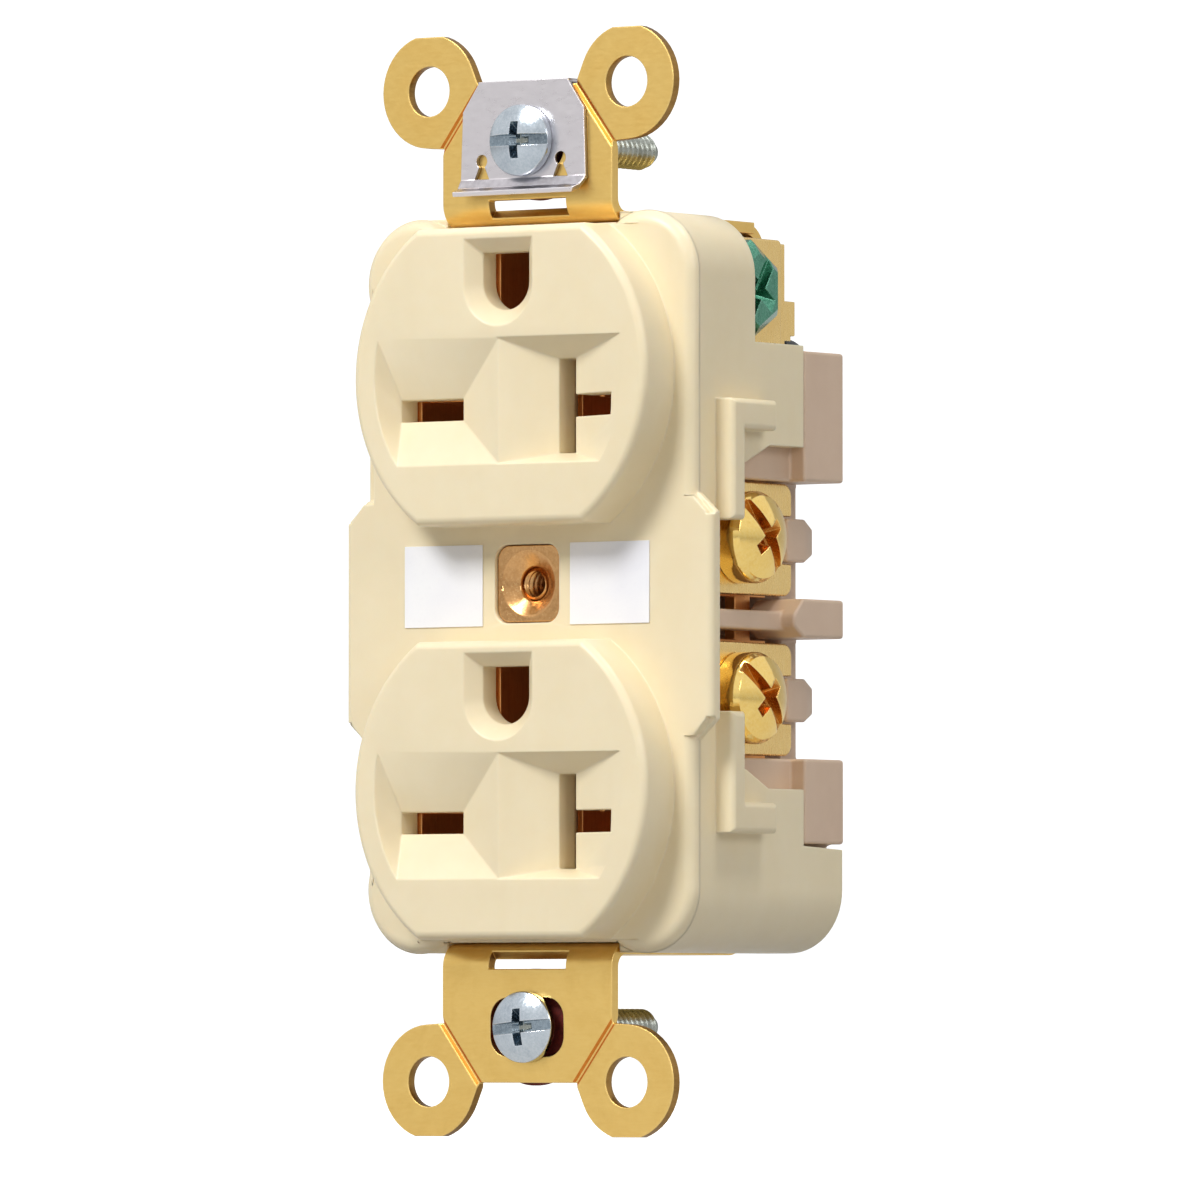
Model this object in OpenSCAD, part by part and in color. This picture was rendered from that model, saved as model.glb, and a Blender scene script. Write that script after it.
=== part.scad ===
// Duplex wall receptacle with two tandem-slot faces, a wrap-around mounting strap,
// and screw-and-clamp terminals down both sides.
//
// Frame: X across the face (right positive), Y into the wall, Z up. The origin is on
// the axis of the faceplate screw, in the front plane of the mounting ears.

/* [Mounting strap] */
// Distance between the two mounting slots
mount_spacing = 83.34; // [82.5:0.1:84.2]
// Sheet thickness of the strap
strap_t = 1.1; // [1:0.05:1.15]
// Width of the strap across its front plates
strap_w = 19.6; // [18.8:0.1:19.7]
// Width of the strap where it runs down the back
strap_back_w = 14; // [12:0.5:14]
// Distance between the hole centres of one pair of ears
ear_pitch_x = 22.88; // [22.4:0.1:23.4]
// Distance between the upper and the lower pair of ears
ear_pitch_z = 93.62; // [93:0.1:94.2]
// Outer radius of each ear
ear_r = 5.4; // [5:0.1:5.6]
// Diameter of the hole in each ear
ear_hole_d = 4.75; // [4:0.05:5]

/* [Faces] */
// Distance between the centres of the two faces
face_pitch = 38.9; // [38.5:0.1:39.3]
// Radius of the round face
face_r = 16.95; // [16.7:0.05:17]
// Height of the face between its two flats
face_h = 28; // [27.6:0.1:28.2]
// How far the face stands in front of the flange
face_rise = 4.7; // [4:0.1:5]
// Depth of the lead-in funnels round the blade slots
funnel_d = 2.4; // [1.8:0.1:2.6]

/* [Housing] */
// Width of the narrow part of the flange
body_w = 38.2; // [38:0.1:38.4]
// Height of the flange
body_h = 69.4; // [68.8:0.1:69.5]
// Width across the side wings
wing_w = 42.4; // [42:0.1:43]
// Corner radius of the flange
corner_r = 6; // [5:0.5:6.5]

/* [Terminals] */
// Diameter of a terminal screw head
head_d = 8.7; // [8.4:0.1:8.8]
// Height of a terminal screw head
head_h = 3.7; // [3.4:0.1:3.8]
// Distance from the centre plane to the rest position of a clamp plate
clamp_x = 15.1; // [15:0.05:15.2]
// Thickness of a clamp plate
clamp_t = 1.3; // [1.1:0.05:1.3]

/* [Hidden] */
$fn = 96;

// Strap
slot_z = mount_spacing / 2;       // height of a mounting slot
strap_x = strap_w / 2;
strap_in_z = 33.75;               // inner side of the strap along the ends of the housing
strap_out_z = strap_in_z + strap_t;
strap_in_y = 25.4;                // inner side of the strap down the back
strap_out_y = strap_in_y + strap_t;
front_bend_r = 2.3;               // outer radius of the bend behind the front plate
back_bend_r = 3;                  // outer radius of the bend at the back
bend_y = strap_out_y - back_bend_r;  // centre of the back bend
bend_z = strap_out_z - back_bend_r;
seat_y = strap_in_y - 0.05;       // rear face of the metal parts that lie against the strap
ear_root_top = [5.6, 46.9];       // ends of the line (x, z) where an ear joins the plate
ear_root_side = [strap_x, 41.3];

// Cover and base
face_z = face_pitch / 2;          // height of a face centre
body_x = body_w / 2;
body_z = body_h / 2;
wing_x = wing_w / 2;
wall_t = 1.6;                     // thickness of the cover's side walls
cover_rear_y = 24.65;
base_rear_y = 24.9;
rim_edge_r = 1.2;                 // radius of the flange's front edge
wing_edge_r = 0.7;                // radius of the wings' front edge
face_edge_r = 0.8;                // radius of the faces' front edge
slot_dz = -3.0;                   // height of the blade slots below the face centre
ground_dz = 8.8;                  // height of the ground opening above the face centre
ground_zs = [face_z + ground_dz, -face_z + ground_dz];
assembly_x = 10.5;                // assembly screws
assembly_z = 21.2;

// Terminals and contacts
term_mid = -3.25;                 // the terminal openings are centred a little below the middle
term_y = 11.3;                    // depth of every terminal screw axis
term_pitch = 15.1;
upper_term_z = term_mid + term_pitch / 2;
lower_term_z = term_mid - term_pitch / 2;
term_zs = [upper_term_z, lower_term_z];
bus_in_x = 12.2;                  // inner face of the contact plates
bus_out_x = 13.4;                 // outer face of the contact plates
screw_r = 2.08;                   // thread radius of the terminal and ground screws
screw_hole_r = 2.15;
ground_y = 14.4;                  // axis of the ground screw
ground_z = 27.8;
tab_x = 12.8;                     // outer face of the ground terminal's tab
tab_y = 10.4;                     // front edge of the tab and of its clamp
tail_x = 6;                       // rivet through the ground terminal's tail
tail_z = 28.25;

// Colours
strap_color = [0.83, 0.68, 0.38];
cover_color = [0.95, 0.88, 0.72];
base_color = [0.71, 0.62, 0.54];
mount_screw_color = [0.72, 0.75, 0.8];
washer_color = [0.5, 0.14, 0.1];
clip_color = [0.74, 0.72, 0.74];
bushing_color = [0.72, 0.48, 0.23];
label_color = [0.97, 0.97, 0.98];
contact_color = [0.78, 0.53, 0.27];
terminal_color = [0.88, 0.75, 0.5];
rivet_color = [0.8, 0.65, 0.4];
assembly_screw_color = [0.1, 0.12, 0.13];
term_screw_color = [0.85, 0.66, 0.32];
ground_screw_color = [0.2, 0.48, 0.4];

// ---------- helpers ----------
// Extrudes a drawing in the X-Z plane from y0 to y1
module slab_y(y0, y1)
    translate([0, y1, 0]) rotate([90, 0, 0]) linear_extrude(height = y1 - y0) children();
// Extrudes a drawing in the Y-Z plane from x0 to x1
module slab_x(x0, x1)
    translate([x0, 0, 0]) rotate([90, 0, 90]) linear_extrude(height = x1 - x0) children();
// A block given by its two corners
module block(low, high)
    translate(low) cube([high[0] - low[0], high[1] - low[1], high[2] - low[2]]);
// Cylinders along Y and along X
module rod_y(radius, y0, y1, x = 0, z = 0)
    translate([x, y1, z]) rotate([90, 0, 0]) cylinder(r = radius, h = y1 - y0);
module rod_x(radius, x0, x1, y = 0, z = 0)
    translate([x0, y, z]) rotate([0, 90, 0]) cylinder(r = radius, h = x1 - x0);
// A rectangle with round corners, centred
module round_rect(width, height, radius) {
    square([width - 2 * radius, height], center = true);
    square([width, height - 2 * radius], center = true);
    for (i = [-1, 1]) for (j = [-1, 1])
        translate([i * (width / 2 - radius), j * (height / 2 - radius)]) circle(r = radius);
}
// The same shape on both sides of the centre plane
module both_sides() {
    children();
    mirror([1, 0, 0]) children();
}
// The same shape above and below height z
module above_below(z = 0)
    for (m = [0, 1])
        translate([0, 0, z]) mirror([0, 0, m]) translate([0, 0, -z]) children();
// Point where a line from a point touches a circle; side picks one of the two
function touch_point(centre, radius, point, side) =
    let (away = point - centre,
        angle = atan2(away[1], away[0]) + side * acos(radius / norm(away)))
    centre + radius * [cos(angle), sin(angle)];

// ---------- strap ----------
// Side profile of the space the strap wraps round, in Y-Z, drawn in by gap
module strap_inside(gap) {
    translate([-20, -strap_in_z + gap]) square([20 + bend_y, 2 * strap_in_z - 2 * gap]);
    translate([-20, -bend_z]) square([20 + strap_in_y - gap, 2 * bend_z]);
    for (side = [-1, 1])
        translate([bend_y, side * bend_z]) circle(r = back_bend_r - strap_t - gap);
}
module strap_outside() {
    translate([front_bend_r, -strap_out_z]) square([bend_y - front_bend_r, 2 * strap_out_z]);
    translate([front_bend_r, -bend_z]) square([strap_out_y - front_bend_r, 2 * bend_z]);
    for (side = [-1, 1]) translate([bend_y, side * bend_z]) circle(r = back_bend_r);
}
module strap_front_bend() {
    centre = [front_bend_r, strap_in_z + front_bend_r];
    intersection() {
        difference() {
            translate(centre) circle(r = front_bend_r);
            translate(centre) circle(r = front_bend_r - strap_t);
        }
        translate([-1, strap_in_z - 1]) square([front_bend_r + 1, front_bend_r + 1]);
    }
}
module ear_plate() {
    hole = [ear_pitch_x / 2, ear_pitch_z / 2];
    flat_dz = 5.15;               // flat end of an ear, beyond its hole centre
    top = ear_root_top;
    side = ear_root_side;
    plate_z = strap_in_z + front_bend_r;
    polygon([[-strap_x, plate_z], [strap_x, plate_z], side, top,
        [-top[0], top[1]], [-side[0], side[1]]]);
    for (s = [1, -1]) scale([s, 1]) intersection() {
        union() {
            translate(hole) circle(r = ear_r);
            polygon([top, side, touch_point(hole, ear_r, side, 1), hole,
                touch_point(hole, ear_r, top, -1)]);
        }
        translate([-30, 0]) square([60, hole[1] + flat_dz]);
    }
}
// Break-off grooves between the plate and an ear, front and rear
module score_line() {
    half_w = 0.42;
    depth = 0.24;
    length = 12;
    middle = (ear_root_top + ear_root_side) / 2;
    run = ear_root_side - ear_root_top;
    for (y = [0, strap_t])
        translate([middle[0], y, middle[1]])
            rotate([0, -atan2(run[1], run[0]), 0]) rotate([0, 90, 0])
                translate([0, 0, -length / 2]) linear_extrude(height = length)
                    polygon([[-half_w, 0], [0, -depth], [half_w, 0], [0, depth]]);
}
// Material cut from the sides of the strap round the back bends and down the back
module strap_side_cuts() {
    step_x = 8.9;
    low_step_x = 6.9;
    both_sides() {
        block([step_x, bend_y, 0], [20, 40, 40]);
        block([step_x, 19, -40], [20, 40, 0]);
        block([strap_back_w / 2, bend_y, -40], [20, 40, 25.5]);
        block([low_step_x, 20.5, -40], [20, 40, -26]);
    }
}
module mounting_strap() {
    color(strap_color) difference() {
        union() {
            above_below() {
                slab_y(0, strap_t) ear_plate();
                slab_x(-strap_x, strap_x) strap_front_bend();
            }
            difference() {
                slab_x(-strap_x, strap_x) difference() {
                    strap_outside();
                    strap_inside(0);
                }
                strap_side_cuts();
            }
        }
        above_below() {
            // window through the front bend
            slab_x(-4.45, 4.45) polygon([[2.05, 36.2], [-1, 36.2], [-1, 32.57]]);
            // mounting slot
            slab_y(-1, 3) translate([0, slot_z]) round_rect(8.4, 5.5, 1.9);
            for (side = [-1, 1])
                rod_y(ear_hole_d / 2, -1, 3, side * ear_pitch_x / 2, ear_pitch_z / 2);
            both_sides() score_line();
        }
        // holes down the back for the bushing and the rivets
        rod_y(2.05, 20, 30);
        for (z = ground_zs) rod_y(1.25, 20, 30, 0, z);
        rod_y(1.15, 20, 30, tail_x, tail_z);
    }
}

// ---------- cover ----------
// A plate with round corners and a round front edge, front at y = 0
module round_plate(width, height, radius, edge_r, rear_y) {
    corner_x = width / 2 - radius;
    corner_z = height / 2 - radius;
    slab_y(edge_r, rear_y) round_rect(width, height, radius);
    slab_y(0, edge_r + 0.01)
        round_rect(width - 2 * edge_r, height - 2 * edge_r, radius - edge_r);
    for (s = [-1, 1]) {
        translate([s * (width / 2 - edge_r), edge_r, -corner_z])
            cylinder(r = edge_r, h = height - 2 * radius);
        rod_x(edge_r, -corner_x, corner_x, edge_r, s * (height / 2 - edge_r));
        for (t = [-1, 1]) translate([s * corner_x, edge_r, t * corner_z]) rotate([90, 0, 0])
            rotate_extrude() translate([radius - edge_r, 0]) circle(r = edge_r);
    }
}
// The side wings, drawn in by inset at their outer edges
module wing_plate(inset, y0, y1) {
    side_x = wing_x - inset;
    top_z = 8.2 - inset / 2;
    bottom_z = -14.9 + inset / 2;
    slab_y(y0, y1) polygon([[side_x, 6.3], [side_x, -13], [body_x, bottom_z],
        [-body_x, bottom_z], [-side_x, -13], [-side_x, 6.3], [-body_x, top_z],
        [body_x, top_z]]);
}
// One raised face with a round front edge
module round_face() {
    edge_r = face_edge_r;
    root = 1;                     // the face reaches this far into the flange
    flat_z = face_h / 2;
    intersection() {
        translate([0, root, 0]) rotate([90, 0, 0]) rotate_extrude() {
            square([face_r - edge_r, root + face_rise]);
            square([face_r, root + face_rise - edge_r]);
            translate([face_r - edge_r, root + face_rise - edge_r])
                circle(r = edge_r, $fn = 48);
        }
        slab_x(-20, 20) {
            translate([-face_rise, -(flat_z - edge_r)]) square([6, face_h - 2 * edge_r]);
            translate([-face_rise + edge_r, -flat_z]) square([6, face_h]);
            for (s = [-1, 1]) translate([-face_rise + edge_r, s * (flat_z - edge_r)])
                circle(r = edge_r, $fn = 48);
        }
    }
}
// Openings of one face, drawn in X-Z about the face centre
module left_slot() translate([-12.9, slot_dz - 1.05]) square([7.2, 2.05]);
module upright_slot() translate([5.4, slot_dz - 4.45]) square([1.9, 8.9]);
// Round below, square above
module ground_shape(radius, height, facets) {
    circle(r = radius, $fn = facets);
    translate([-radius, 0]) square([2 * radius, height]);
}
module ground_opening(facets) translate([0, ground_dz]) ground_shape(2.65, 2.8, facets);
module face_openings() {
    left_slot();
    upright_slot();
    translate([7.2, slot_dz - 1.05]) square([5.4, 2.1]);
    ground_opening($fn);
}
module funnel_rim(x0, x1) intersection() {
    circle(r = 14.4, $fn = 48);
    translate([x0, -8.35]) square([x1 - x0, 11.85]);
}
// Funnel from the first drawing, on the face, to the second one at the given depth
module funnel(depth) hull() {
    slab_y(-face_rise - 0.02, -face_rise) children(0);
    slab_y(-face_rise + depth - 0.01, -face_rise + depth) children(1);
}
module lead_in() {
    funnel(funnel_d) {
        funnel_rim(-20, 0.15);
        left_slot();
    }
    funnel(funnel_d) {
        funnel_rim(-0.15, 19.85);
        upright_slot();
    }
    funnel(1.4) {
        translate([0, 8.6]) ground_shape(3.98, 4.3, 48);
        ground_opening(48);
    }
}
// Room for a contact behind a blade slot
module slot_pocket(x0, x1, half_h)
    block([x0, 0.3, slot_dz - half_h], [x1, 4, slot_dz + half_h]);
// Side wall of the cover: y, z
side_wall_points = [
    [0, body_z], [10.2, body_z], [10.2, 22.6], [18.2, 22.6], [18.2, 12.95], [12.6, 12.95],
    [8.8, 11.3], [5.4, 10.2], [5.4, 5.7], [0, 5.7], [0, -12.2], [5.4, -12.2],
    [5.4, -16.7], [8.8, -17.6], [12.4, -19.3], [18.2, -19.3], [18.2, -24.6],
    [cover_rear_y, -24.9], [cover_rear_y, -body_z], [0, -body_z]];
// Guard rib beside the terminals, upper one
module guard_rib() {
    front_y = 3.6;
    top_z = 17.05;
    block([body_x - 0.5, front_y, 5.7], [wing_x, 5.8, top_z]);
    block([body_x - 0.5, front_y, 14.2], [wing_x, 11, top_z]);
}
module front_cover() {
    color(cover_color) difference() {
        union() {
            // flange and wings, with round front edges
            round_plate(body_w, body_h, corner_r, rim_edge_r, 2.5);
            wing_plate(0, wing_edge_r, 1.4);
            wing_plate(wing_edge_r, 0, wing_edge_r + 0.01);
            both_sides() translate([wing_x - wing_edge_r, wing_edge_r, -12.8])
                cylinder(r = wing_edge_r, h = 18.9);
            for (side = [-1, 1]) translate([0, 0, side * face_z]) round_face();
            // walls that follow the rim of the flange
            intersection() {
                slab_y(1, cover_rear_y) difference() {
                    round_rect(body_w, body_h, corner_r);
                    round_rect(body_w - 2 * wall_t, body_h - 2 * wall_t, corner_r - wall_t);
                }
                slab_x(-40, 40) polygon(side_wall_points);
            }
            both_sides() above_below(term_mid) guard_rib();
            // posts for the assembly screws
            both_sides() rod_y(2.1, 1, 10.3, assembly_x, assembly_z);
        }
        // channels for the strap
        slab_x(-9.95, 9.95) difference() {
            translate([-1, -40]) square([40, 80]);
            strap_inside(0.03);
        }
        for (side = [-1, 1]) translate([0, 0, side * face_z]) {
            slab_y(-face_rise - 1, 4) face_openings();
            lead_in();
            slot_pocket(-13.3, -5.3, 1.7);
            slot_pocket(4.4, 8.0, 5.1);
            slot_pocket(7.9, 13.2, 1.7);
            block([-3.1, -1.2, ground_dz - 3.2], [3.1, 4, ground_dz + 3.4]);
        }
        // seat and hole for the faceplate bushing
        slab_y(-1, 2.0) round_rect(7.4, 7.4, 1.4);
        rod_y(3.0, -1, 4);
        both_sides() rod_y(1.3, 3, 13, assembly_x, assembly_z);
        // room for the ground screw as it backs out
        rod_x(5.1, 14, 18.45, ground_y, ground_z);
    }
}

// ---------- base ----------
// Nub behind a terminal screw, tapered towards the rear
module terminal_nub(z) {
    root_x = bus_out_x - 0.1;
    tip_x = 16.8;
    front_y = 18.8;
    taper_y = 21.8;
    translate([0, 0, z]) intersection() {
        slab_x(root_x, tip_x) polygon([[front_y, -2.05], [taper_y, -2.05],
            [base_rear_y, -1.3], [base_rear_y, 1.3], [taper_y, 2.05], [front_y, 2.05]]);
        translate([0, 0, -3]) linear_extrude(height = 6)
            polygon([[root_x, front_y], [tip_x, front_y], [tip_x, taper_y],
                [15.5, base_rear_y], [root_x, base_rear_y]]);
    }
}
module back_body() {
    inner_x = body_x - wall_t - 0.1;  // just inside the cover's walls
    front_y = 3;                  // front edge of most inner walls
    web_y = 22.7;                 // inner walls run this deep, into the rear wall
    rear_wall_y = 22.6;
    block_y = 18.35;              // front of the side blocks
    block_x = bus_out_x - 1;
    side_x = 15.9;                // inner face of the side walls
    channel_x = 4;                // arms and dividers start here
    arm_z = 9.8;
    upper_z = 22.1;
    lower_arm_z = -16.4;
    bottom_z = -32.75;
    top_z = 33.2;
    color(base_color) difference() {
        union() {
            // rear wall
            block([-bus_out_x, rear_wall_y, -32.8], [bus_out_x, strap_in_y - 0.1, top_z]);
            block([-inner_x, rear_wall_y, bottom_z], [inner_x, 24.6, -19]);
            both_sides() {
                // upper block, arm and inner wall
                block([block_x, block_y, arm_z], [body_x, base_rear_y, upper_z]);
                block([6, 20.2, arm_z], [body_x - 2, base_rear_y, upper_z]);
                block([channel_x, 4, arm_z], [inner_x, web_y, 12.75]);
                block([side_x, front_y, arm_z], [inner_x, 18.5, upper_z]);
                block([channel_x, front_y, 21.2], [inner_x, web_y, upper_z]);
                // divider between the two terminals
                block([channel_x, 3.2, -4.3], [inner_x, web_y, -2.5]);
                slab_x(block_x, body_x) polygon([[16.6, -2.9], [18.2, -1.3],
                    [base_rear_y, -1.3], [base_rear_y, -4.95], [18.2, -4.95], [16.6, -3.9]]);
                // lower arm, block and inner wall
                block([channel_x, 4, -19], [inner_x, web_y, lower_arm_z]);
                block([block_x, block_y, -24.4], [body_x, base_rear_y, lower_arm_z]);
                block([side_x, front_y, bottom_z], [inner_x, web_y, lower_arm_z]);
                for (z = term_zs) terminal_nub(z);
                // walls of the ground channel
                block([3.3, front_y, bottom_z], [4.3, web_y, top_z]);
            }
            // end walls
            block([-inner_x, front_y, bottom_z], [inner_x, web_y, -31.3]);
            block([-11.5, front_y, 32], [11.5, web_y, top_z]);
            both_sides() block([10.1, front_y, 22], [11.5, web_y, top_z]);
        }
        // slots that hold the contact plates
        both_sides() block([bus_in_x - 0.06, -1, -24.4], [bus_out_x + 0.06, 20.1, 18.3]);
        // rear corners under the strap
        slab_x(-30, 30) difference() {
            translate([-5, -60]) square([60, 120]);
            strap_inside(0.08);
        }
        // bushing, ground contacts, screws and the tail of the ground terminal
        rod_y(3.05, -1, 40);
        for (z = ground_zs) block([-3.1, 18, z - 2.75], [3.1, 30, z + 2.75]);
        both_sides() rod_y(1.7, 12.2, 40, assembly_x, assembly_z);
        both_sides() rod_y(2.2, -1, 12.2, assembly_x, assembly_z);
        block([3.9, 23.3, 22.6], [20, 30, 31.7]);
        // clear of the cover's lower inner corners and upper end wall
        both_sides() slab_y(-1, 40) difference() {
            translate([body_x - corner_r, -40]) square([10, 40 - body_z + corner_r]);
            translate([body_x - corner_r, -body_z + corner_r])
                circle(r = corner_r - wall_t - 0.1);
        }
        block([-14, -1, 33], [14, 10.4, 40]);
        // clear of the ground terminal's tab and screw
        block([11.55, 19, 22.5], [20, 30, 34]);
        rod_x(2.4, 6, 20, ground_y, ground_z);
    }
}

// ---------- fasteners ----------
// Domed head with a slot and a cross recess, along Z with the underside at z = 0
module combo_head(diameter, height, edge_h, slot_w) {
    slot_depth = 0.95;
    cross_depth = 1.35;
    rise = height - edge_h;
    dome_r = (pow(diameter / 2, 2) + pow(rise, 2)) / (2 * rise);
    difference() {
        union() {
            cylinder(r = diameter / 2, h = edge_h);
            intersection() {
                translate([0, 0, height - dome_r]) sphere(r = dome_r);
                translate([0, 0, edge_h - 0.001]) cylinder(r = diameter / 2, h = height);
            }
        }
        translate([-diameter, -slot_w / 2, height - slot_depth])
            cube([2 * diameter, slot_w, 5]);
        for (a = [0, 90]) rotate(a)
            translate([-diameter * 0.28, -slot_w * 0.45, height - cross_depth])
                cube([diameter * 0.56, slot_w * 0.9, 5]);
    }
}
// Box screw with the underside of its head at depth head_y
module mount_screw(z, head_y) {
    thread_r = 1.75;
    thread_y = 2.75;              // the thread starts here, behind a narrower neck
    point_y = 19.3;               // the tapered tip starts here
    color(mount_screw_color) translate([0, head_y, z]) {
        rotate([90, 0, 0]) combo_head(diameter = 6.75, height = 1.75, edge_h = 1.0, slot_w = 1.05);
        rod_y(1.5, -0.5, thread_y - head_y + 0.01);
        rod_y(thread_r, thread_y - head_y, point_y - head_y);
        translate([0, point_y - head_y, 0]) rotate([-90, 0, 0])
            cylinder(r1 = thread_r, r2 = 1.15, h = 0.7);
    }
}
module upper_mount_screw() mount_screw(slot_z, -0.56);
module lower_mount_screw() mount_screw(-slot_z, -0.03);
module mount_washer(z, front_y) color(washer_color) difference() {
    rod_y(5.5, front_y, front_y + 0.8, 0, z);
    rod_y(1.6, 0, 5, 0, z);
}
module upper_mount_washer() mount_washer(slot_z, 1.75);
module lower_mount_washer() mount_washer(-slot_z, strap_t + 0.03);

// Side profile of the ground clip, hooked over the top edge of the strap: y, z
clip_profile = [
    [-0.05, 46.98], [strap_t + 0.1, 46.98], [strap_t + 0.1, 44.9], [strap_t + 0.5, 44.9],
    [strap_t + 0.5, 47.4], [-0.5, 47.4], [-0.5, 38.2], [-1.0, 37.35], [-1.85, 37.0],
    [-1.7, 36.55], [-0.65, 36.9], [-0.05, 38.1]];
// Front outline of the ground clip: x, z
clip_outline = [
    [-5.3, 48], [5.1, 48], [5.1, 47.2], [6.9, 44.6], [7.1, 37.9], [6.3, 36.5],
    [-7.4, 36.5], [-7.1, 44.6], [-5.3, 47.2]];
// Spring clip that earths the strap to a metal box
module ground_clip() {
    color(clip_color) difference() {
        intersection() {
            slab_x(-8, 8) polygon(clip_profile);
            slab_y(-4, 4) polygon(clip_outline);
        }
        slab_y(-3, 1) translate([0, slot_z]) round_rect(6.4, 4.2, 2);
        // keyhole vents
        for (x = [-4.9, 4.2]) {
            rod_y(0.62, -3, 1, x, 39.9);
            slab_y(-3, 1) polygon([[x - 0.2, 39.6], [x + 0.2, 39.6],
                [x + 0.85, 38.2], [x - 0.85, 38.2]]);
        }
    }
}

// Threaded post that takes the faceplate screw and ties the cover to the strap
module faceplate_bushing() {
    bore_r = 1.6;
    color(bushing_color) difference() {
        union() {
            slab_y(0.35, 1.95) round_rect(7.25, 7.25, 1.3);
            rod_y(2.95, 1, seat_y);
            rod_y(2.0, 20, strap_out_y + 0.3);
            rod_y(3.0, strap_out_y + 0.04, strap_out_y + 0.6);
        }
        rod_y(bore_r, -1, 15);
        translate([0, 0.3, 0]) rotate([-90, 0, 0]) cylinder(r1 = 3.15, r2 = bore_r, h = 1.0);
    }
}
module label() color(label_color) block([5.05, -0.12, -3.95], [14.15, -0.02, 3.75]);
module left_label() mirror([1, 0, 0]) label();
module right_label() label();

// ---------- contacts ----------
// Contact plate in Y-Z, as rectangles: y, z, size in y, size in z
bus_parts = [
    [7.5, -24.3, 12.5, 8.2],
    [5.6, -16.2, 14.4, 11.1],
    [5.6, -1.1, 14.4, 10.8],
    [7.5, 9.6, 12.5, 8.6],
    [15.0, -5.2, 2.5, 4.2]];      // narrow break-off link between the two terminals
// Right-hand contact; upright adds the leaves for an upright blade
module line_contact(upright) {
    root_x = bus_in_x + 0.2;
    leaf_y = [1.5, 16.5];         // front and rear of the leaves
    leaf_z = [0.95, 1.6];         // a leaf beside a horizontal blade
    inner_x = upright ? 4.8 : 5.9;
    difference() {
        slab_x(bus_in_x, bus_out_x)
            for (part = bus_parts) translate([part[0], part[1]]) square([part[2], part[3]]);
        for (z = term_zs) rod_x(screw_hole_r, 5, 20, term_y, z);
    }
    for (side = [-1, 1]) translate([0, 0, side * face_z + slot_dz]) {
        // web behind the blade
        block([inner_x, 16, -1.75], [root_x, 16.8, 1.75]);
        // leaves on both sides of a horizontal blade
        above_below()
            block([upright ? 8.6 : 5.9, leaf_y[0], leaf_z[0]], [root_x, leaf_y[1], leaf_z[1]]);
        if (upright) {
            // leaves on both sides of an upright blade, with a gap for a horizontal one
            block([inner_x, leaf_y[0], -3.1], [5.4, leaf_y[1], 3.1]);
            above_below() block([7.3, leaf_y[0], leaf_z[0]], [7.9, leaf_y[1], 3.1]);
        } else {
            // stop at the outer end of the blade
            block([12.5, 0.4, -1.6], [13.1, 8, 1.6]);
        }
    }
}
module right_line_contact() color(contact_color) line_contact(true);
module left_line_contact() color(contact_color) mirror([1, 0, 0]) line_contact(false);
module ground_contact(z) {
    outer_x = 3.0;
    leaf_x = 2.3;                 // inner face of the leaves
    color(contact_color) translate([0, 0, z]) difference() {
        union() {
            both_sides() block([leaf_x, -1.0, -2.4], [outer_x, seat_y, 2.4]);
            both_sides() block([leaf_x, -1.0, -2.6], [outer_x, 14, 3.1]);
            block([-outer_x, seat_y - 0.8, -2.4], [outer_x, seat_y, 2.4]);
        }
        rod_y(1.25, 20, 30);
    }
}
module upper_ground_contact() ground_contact(ground_zs[0]);
module lower_ground_contact() ground_contact(ground_zs[1]);
// Angle plate that brings the ground screw out to the right side
module ground_terminal() {
    tab_in_x = tab_x - 1.2;
    tail_y = seat_y - 1.1;
    color(terminal_color) difference() {
        union() {
            block([tab_in_x, tab_y, 22.75], [tab_x, 24.2, 32.7]);
            block([tab_in_x, 20, 23.5], [tab_x, 25.2, 24.1]);
            block([tab_in_x, 20, 24.0], [tab_x, 25.9, 27.3]);
            block([4.5, tail_y, 24.0], [tab_x, seat_y, 27.3]);
            block([4.5, tail_y, 26], [8.2, seat_y, 30.5]);
        }
        rod_x(screw_hole_r, 5, 20, ground_y, ground_z);
        rod_y(1.15, 20, 30, tail_x, tail_z);
    }
}
// Shank from y0 to the rear of the strap, with a flat head at each end
module rivet(x, z, radius, y0, head_r) {
    rivet_head_h = 0.7;
    y1 = strap_out_y + 0.05;
    rod_y(radius, y0, y1, x, z);
    rod_y(head_r, y1 - 0.01, y1 + rivet_head_h, x, z);
    rod_y(head_r, y0 - rivet_head_h, y0 + 0.01, x, z);
}
module ground_rivets() color(rivet_color) {
    for (z = ground_zs) rivet(0, z, 1.2, strap_in_y - 0.9, 2.0);
    rivet(tail_x, tail_z, 1.1, strap_in_y - 1.2, 1.7);
}
module assembly_screws()
    color(assembly_screw_color) both_sides()
        translate([assembly_x, strap_in_y - 0.07, assembly_z]) {
            rotate([-90, 0, 0]) difference() {
                cylinder(r = 2.7, h = 2.2);
                translate([-4, -0.5, 1.3]) cube([8, 1, 3]);
            }
            rod_y(1.25, -20.5, 0.1);
        }

// ---------- terminals (right-hand side) ----------
module term_screw(z)
    color(term_screw_color) translate([clamp_x + clamp_t + 0.05, term_y, z]) {
        rotate([0, 90, 0]) combo_head(head_d, head_h, edge_h = head_h - 1.3, slot_w = 1.25);
        rod_x(screw_r, -7.2, 0.5);
    }
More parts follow.
